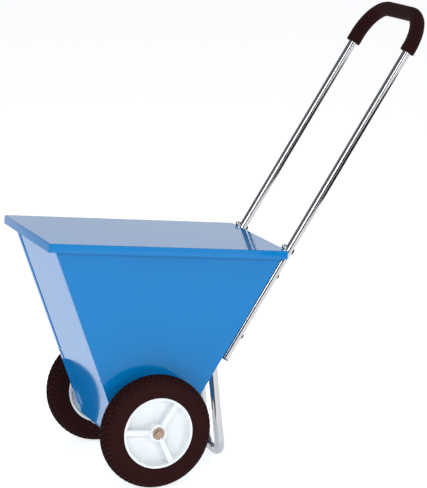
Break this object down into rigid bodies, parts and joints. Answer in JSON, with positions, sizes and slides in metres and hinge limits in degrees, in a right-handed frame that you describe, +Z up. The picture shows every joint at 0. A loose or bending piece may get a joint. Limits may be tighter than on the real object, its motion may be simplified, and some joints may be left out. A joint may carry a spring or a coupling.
{
  "type": "garden cart",
  "caption": "Two-wheeled push cart: V-shaped blue steel hopper with lift-off lid, sliding outlet gate, bright U handle with foam grip and U stand.",
  "frame": {"origin": "centre of the ground under the cart's outline, standing on its wheels and its stand", "axes": "+X to the rear, where the handle is, +Y to the cart's right, +Z up"},
  "size_m": [0.9154, 0.4368, 1.0154],
  "materials": {
    "blue_enamel": "glossy blue enamel on sheet steel",
    "chrome_tube": "bright plated tube",
    "chrome_hardware": "bright plated fasteners",
    "zinc": "zinc plated, dull",
    "spring_steel": "browned steel, dull",
    "white_plastic": "moulded, semi-gloss",
    "nylon": "moulded nylon",
    "tyre": "moulded rubber",
    "foam": "closed-cell foam, matte",
    "black_plastic": "moulded, matte"
  },
  "bodies": {
    "chassis": {"front_wall": "blue_enamel", "rear_wall": "blue_enamel", "left_panel": "blue_enamel", "right_panel": "blue_enamel", "floor_plate": "blue_enamel", "gate_rails": "zinc", "rail_rivets": "zinc", "left_bearing": "nylon", "right_bearing": "nylon", "bearing_rivets": "zinc", "left_post": "chrome_tube", "right_post": "chrome_tube", "post_plugs": "black_plastic", "post_bolts": "chrome_hardware", "post_nuts": "zinc", "post_washers": "black_plastic", "handle_tube": "chrome_tube", "splice_sleeves": "zinc", "splice_bolts": "chrome_hardware", "splice_nuts": "chrome_hardware", "splice_washers": "chrome_hardware", "grip": "foam", "stand_tube": "chrome_tube", "stand_bolts": "chrome_hardware", "stand_nuts": "zinc", "stand_plugs": "black_plastic"},
    "lid": {"lid": "blue_enamel"},
    "gate": {"gate": "zinc", "gate_knob": "black_plastic", "gate_screw": "zinc"},
    "drive": {"axle": "spring_steel", "agitator": "zinc", "agitator_pin": "spring_steel", "axle_spacers": "zinc", "axle_washers": "zinc", "axle_caps": "spring_steel", "right_hub": "white_plastic", "right_tyre": "tyre", "drive_pin": "spring_steel"},
    "left_wheel": {"left_hub": "white_plastic", "left_tyre": "tyre", "left_hub_bush": "nylon"}
  },
  "joints": [
    {"name": "lid_lift", "type": "slide", "parent": "chassis", "child": "lid", "axis": [0.1045, 0, 0.9945], "range_m": [0, 0.25]},
    {"name": "gate_slide", "type": "slide", "parent": "chassis", "child": "gate", "axis": [0.9945, 0, -0.1045], "range_m": [0, 0.03]},
    {"name": "axle_spin", "type": "hinge", "parent": "chassis", "child": "drive", "pos_m": [-0.22668, 0, 0.127], "axis": [0, 1, 0], "continuous": true},
    {"name": "left_wheel_spin", "type": "hinge", "parent": "drive", "child": "left_wheel", "pos_m": [-0.22668, 0, 0.127], "axis": [0, 1, 0], "continuous": true}
  ]
}
